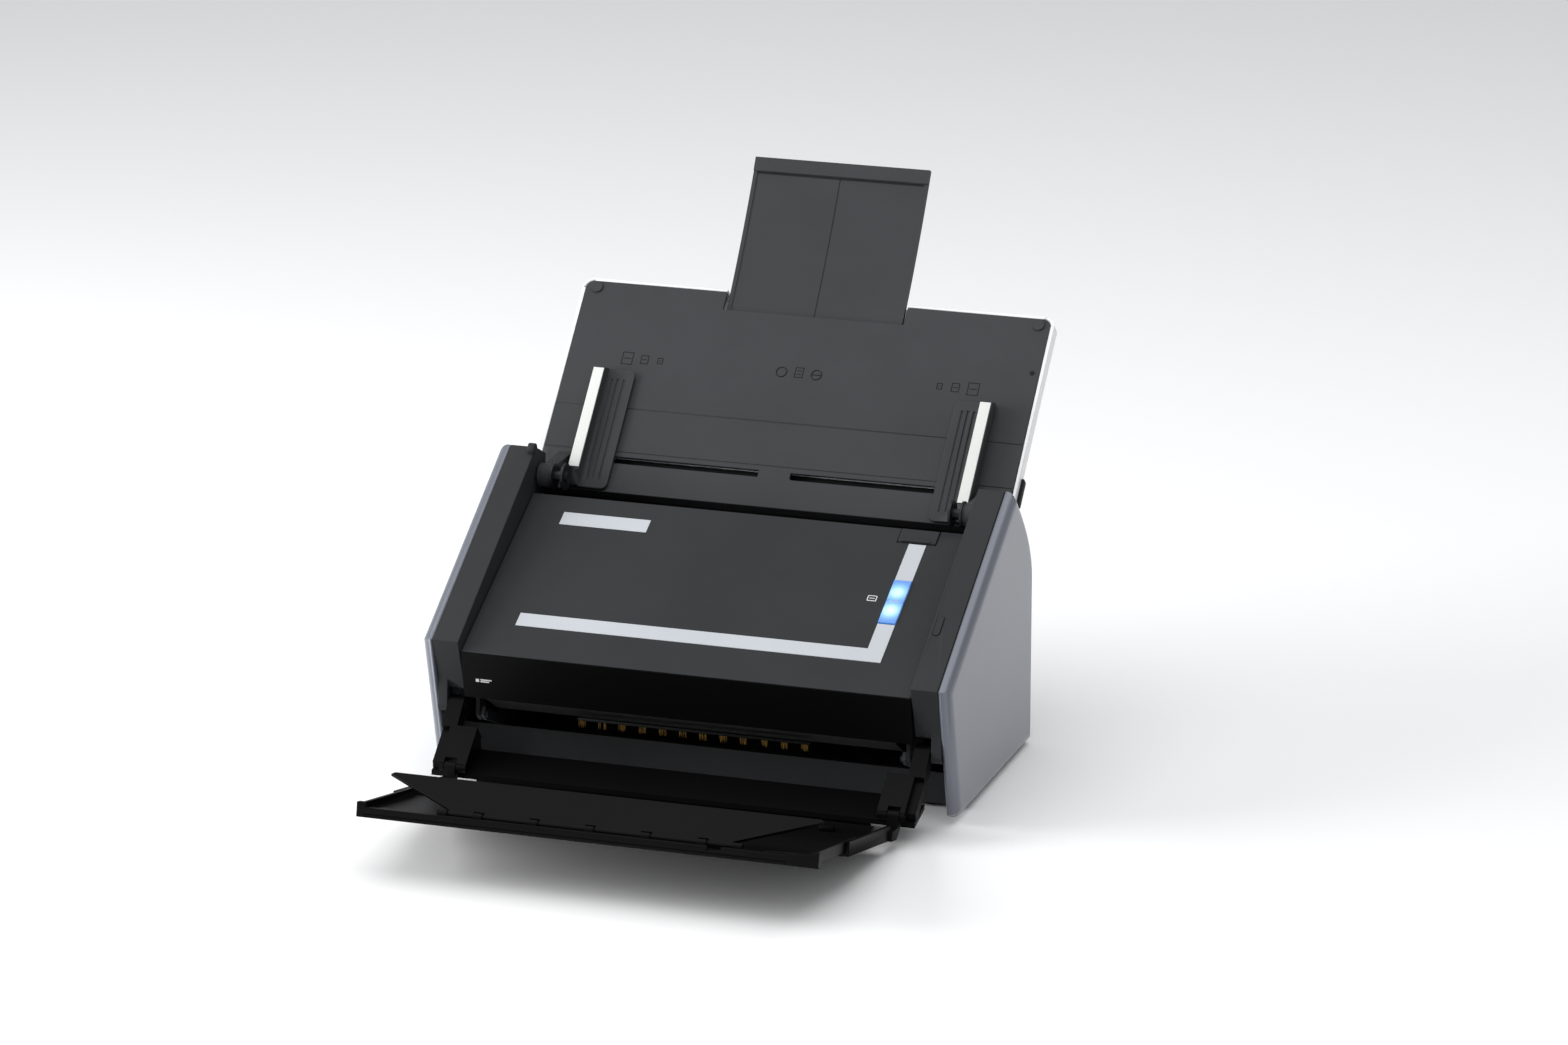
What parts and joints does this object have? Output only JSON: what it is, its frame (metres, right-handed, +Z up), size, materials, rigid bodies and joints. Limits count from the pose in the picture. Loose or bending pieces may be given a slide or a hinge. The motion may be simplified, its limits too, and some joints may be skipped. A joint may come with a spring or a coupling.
{
  "type": "sheet fed document scanner",
  "caption": "Desktop sheet fed scanner with fold-back paper chute, pull-out extension, sliding paper guides, hinged feeder cover and fold-down stacker.",
  "frame": {"origin": "centre of the plan outline of the scanner as it stands open for use, on the desk surface under the rubber feet", "axes": "+X to the user's right across the paper, -Y to the front where the paper comes out, +Z up"},
  "size_m": [0.292, 0.4268, 0.2824],
  "materials": {
    "side_paint": "satin metallic silver-blue paint",
    "black_cover": "fine spark-eroded matte black",
    "inner_black": "matte black",
    "gloss_black": "satin-gloss black",
    "chute_grey": "matte dark grey",
    "lid_white": "white satin lacquer",
    "strip_white": "white",
    "trim_silver": "satin silver film",
    "button_blue": "lit translucent blue",
    "frame_steel": "zinc-plated sheet steel",
    "pin_steel": "polished steel",
    "roller_rubber": "dark grey rubber",
    "foot_rubber": "black rubber",
    "pad_rubber": "brown cork rubber",
    "belt_rubber": "black timing belt",
    "nylon": "natural nylon",
    "motor_case": "zinc-plated can",
    "brass": "brass",
    "board_green": "green solder mask",
    "scan_glass": "clear glass",
    "jack_black": "black moulding",
    "brush_gold": "golden-brown conductive fibre",
    "usb_metal": "nickel-plated shell"
  },
  "bodies": {
    "root": {"base_tray": "black_cover", "rear_cover": "black_cover", "left_frame": "frame_steel", "right_frame": "frame_steel", "left_bezel": "black_cover", "right_bezel": "black_cover", "left_side_panel": "side_paint", "right_side_panel": "side_paint", "bezel_plug": "black_cover", "lower_guide": "inner_black", "rear_scan_unit": "inner_black", "rear_scan_glass": "scan_glass", "drive_motor": "motor_case", "drive_belt": "belt_rubber", "main_board": "board_green", "dc_jack": "jack_black", "usb_port": "usb_metal", "rubber_feet": "foot_rubber", "base_screws": "pin_steel"},
    "chute": {"chute_shell": "lid_white", "chute_plate": "chute_grey", "corner_pads": "chute_grey", "hinge_pins": "pin_steel", "hinge_washers": "pin_steel"},
    "extension": {"extension": "chute_grey"},
    "left_guide": {"left_guide": "chute_grey", "left_guide_strip": "strip_white", "left_rack": "nylon"},
    "right_guide": {"right_guide": "chute_grey", "right_guide_strip": "strip_white", "right_rack": "nylon"},
    "guide_pinion": {"guide_pinion": "nylon"},
    "feeder_cover": {"cover_top": "black_cover", "cover_front": "gloss_black", "cover_inner": "inner_black", "cover_pins": "pin_steel", "front_scan_unit": "inner_black", "front_scan_glass": "scan_glass", "exit_brush": "brush_gold", "separator_pad": "pad_rubber", "short_trim": "trim_silver", "corner_trim": "trim_silver", "upper_trim": "trim_silver"},
    "scan_button": {"scan_button": "button_blue"},
    "release_lever": {"release_lever": "black_cover"},
    "feed_roller": {"feed_roller": "frame_steel", "feed_tyres": "roller_rubber"},
    "pick_roller": {"pick_roller": "nylon", "pick_tyres": "roller_rubber"},
    "eject_roller": {"eject_roller": "frame_steel", "eject_tyres": "roller_rubber"},
    "motor_pulley": {"motor_pulley": "brass"},
    "feed_idlers": {"feed_idlers": "nylon"},
    "eject_idlers": {"eject_idlers": "nylon"},
    "stacker": {"stacker_base": "gloss_black", "stacker_pins": "pin_steel"},
    "tray": {"stacker_tray": "gloss_black"},
    "tray_end": {"tray_extension": "gloss_black"},
    "stop_flap": {"stop_flap": "gloss_black"}
  },
  "joints": [
    {"name": "chute_hinge", "type": "hinge", "parent": "root", "child": "chute", "pos_m": [0, 0.06075, 0.13521], "axis": [-1, 0, 0], "range_deg": [-164, 0]},
    {"name": "extension_slide", "type": "hinge", "parent": "chute", "child": "extension", "pos_m": [0, -0.30418, 0.58793], "axis": [1, 0, 0], "range_deg": [-7.49, 0]},
    {"name": "left_guide_slide", "type": "slide", "parent": "chute", "child": "left_guide", "axis": [1, 0, 0], "range_m": [0, 0.078]},
    {"name": "right_guide_slide", "type": "slide", "parent": "chute", "child": "right_guide", "axis": [-1, 0, 0], "range_m": [0, 0.078]},
    {"name": "guide_pinion_spin", "type": "hinge", "parent": "chute", "child": "guide_pinion", "pos_m": [0, 0.08962, 0.13819], "axis": [0, -0.7193, 0.6947], "range_deg": [-745.8, 0]},
    {"name": "feeder_cover_hinge", "type": "hinge", "parent": "root", "child": "feeder_cover", "pos_m": [0, -0.04655, 0.0345], "axis": [1, 0, 0], "range_deg": [0, 52]},
    {"name": "scan_button_press", "type": "slide", "parent": "feeder_cover", "child": "scan_button", "axis": [0, 0.4384, -0.8988], "range_m": [0, 0.0015], "stiffness_N_per_m": 500, "springref_m": -0.001},
    {"name": "release_lever_turn", "type": "hinge", "parent": "feeder_cover", "child": "release_lever", "pos_m": [0.0955, 0.04929, 0.12538], "axis": [-1, 0, 0], "range_deg": [0, 15], "stiffness_Nm_per_rad": 0.02, "springref_deg": -11.46},
    {"name": "feed_roller_spin", "type": "hinge", "parent": "root", "child": "feed_roller", "pos_m": [0, 0.03582, 0.07401], "axis": [1, 0, 0], "continuous": true},
    {"name": "pick_roller_spin", "type": "hinge", "parent": "root", "child": "pick_roller", "pos_m": [0, 0.05899, 0.09146], "axis": [1, 0, 0], "continuous": true},
    {"name": "eject_roller_spin", "type": "hinge", "parent": "root", "child": "eject_roller", "pos_m": [0, -0.0045, 0.0365], "axis": [1, 0, 0], "continuous": true},
    {"name": "motor_spin", "type": "hinge", "parent": "root", "child": "motor_pulley", "pos_m": [0, 0.04502, 0.03694], "axis": [1, 0, 0], "continuous": true},
    {"name": "feed_idler_spin", "type": "hinge", "parent": "feeder_cover", "child": "feed_idlers", "pos_m": [0, 0.02581, 0.08477], "axis": [1, 0, 0], "continuous": true},
    {"name": "eject_idler_spin", "type": "hinge", "parent": "feeder_cover", "child": "eject_idlers", "pos_m": [0, -0.01451, 0.04726], "axis": [1, 0, 0], "continuous": true},
    {"name": "stacker_hinge", "type": "hinge", "parent": "root", "child": "stacker", "pos_m": [0, -0.05305, 0.0404], "axis": [-1, 0, 0], "range_deg": [-72, 0]},
    {"name": "tray_fold", "type": "hinge", "parent": "stacker", "child": "tray", "pos_m": [0, -0.08296, 0.0162], "axis": [1, 0, 0], "range_deg": [-130, 0]},
    {"name": "tray_slide", "type": "slide", "parent": "tray", "child": "tray_end", "axis": [0, -0.9755, 0.2198], "range_m": [-0.046, 0]},
    {"name": "stop_flap_turn", "type": "hinge", "parent": "tray_end", "child": "stop_flap", "pos_m": [0, -0.20645, 0.03768], "axis": [1, 0, 0], "range_deg": [-30.8, 70]}
  ],
  "couplings": [
    {"joint": "right_guide_slide", "follows": "left_guide_slide", "ratio": 1},
    {"joint": "guide_pinion_spin", "follows": "left_guide_slide", "rad_per_m": -166.67},
    {"joint": "pick_roller_spin", "follows": "feed_roller_spin", "ratio": 1},
    {"joint": "eject_roller_spin", "follows": "feed_roller_spin", "ratio": 1},
    {"joint": "motor_spin", "follows": "feed_roller_spin", "ratio": 1},
    {"joint": "feed_idler_spin", "follows": "feed_roller_spin", "ratio": -1.4545},
    {"joint": "eject_idler_spin", "follows": "feed_roller_spin", "ratio": -1.4545},
    {"joint": "tray_fold", "follows": "stacker_hinge", "ratio": 1.8056}
  ]
}
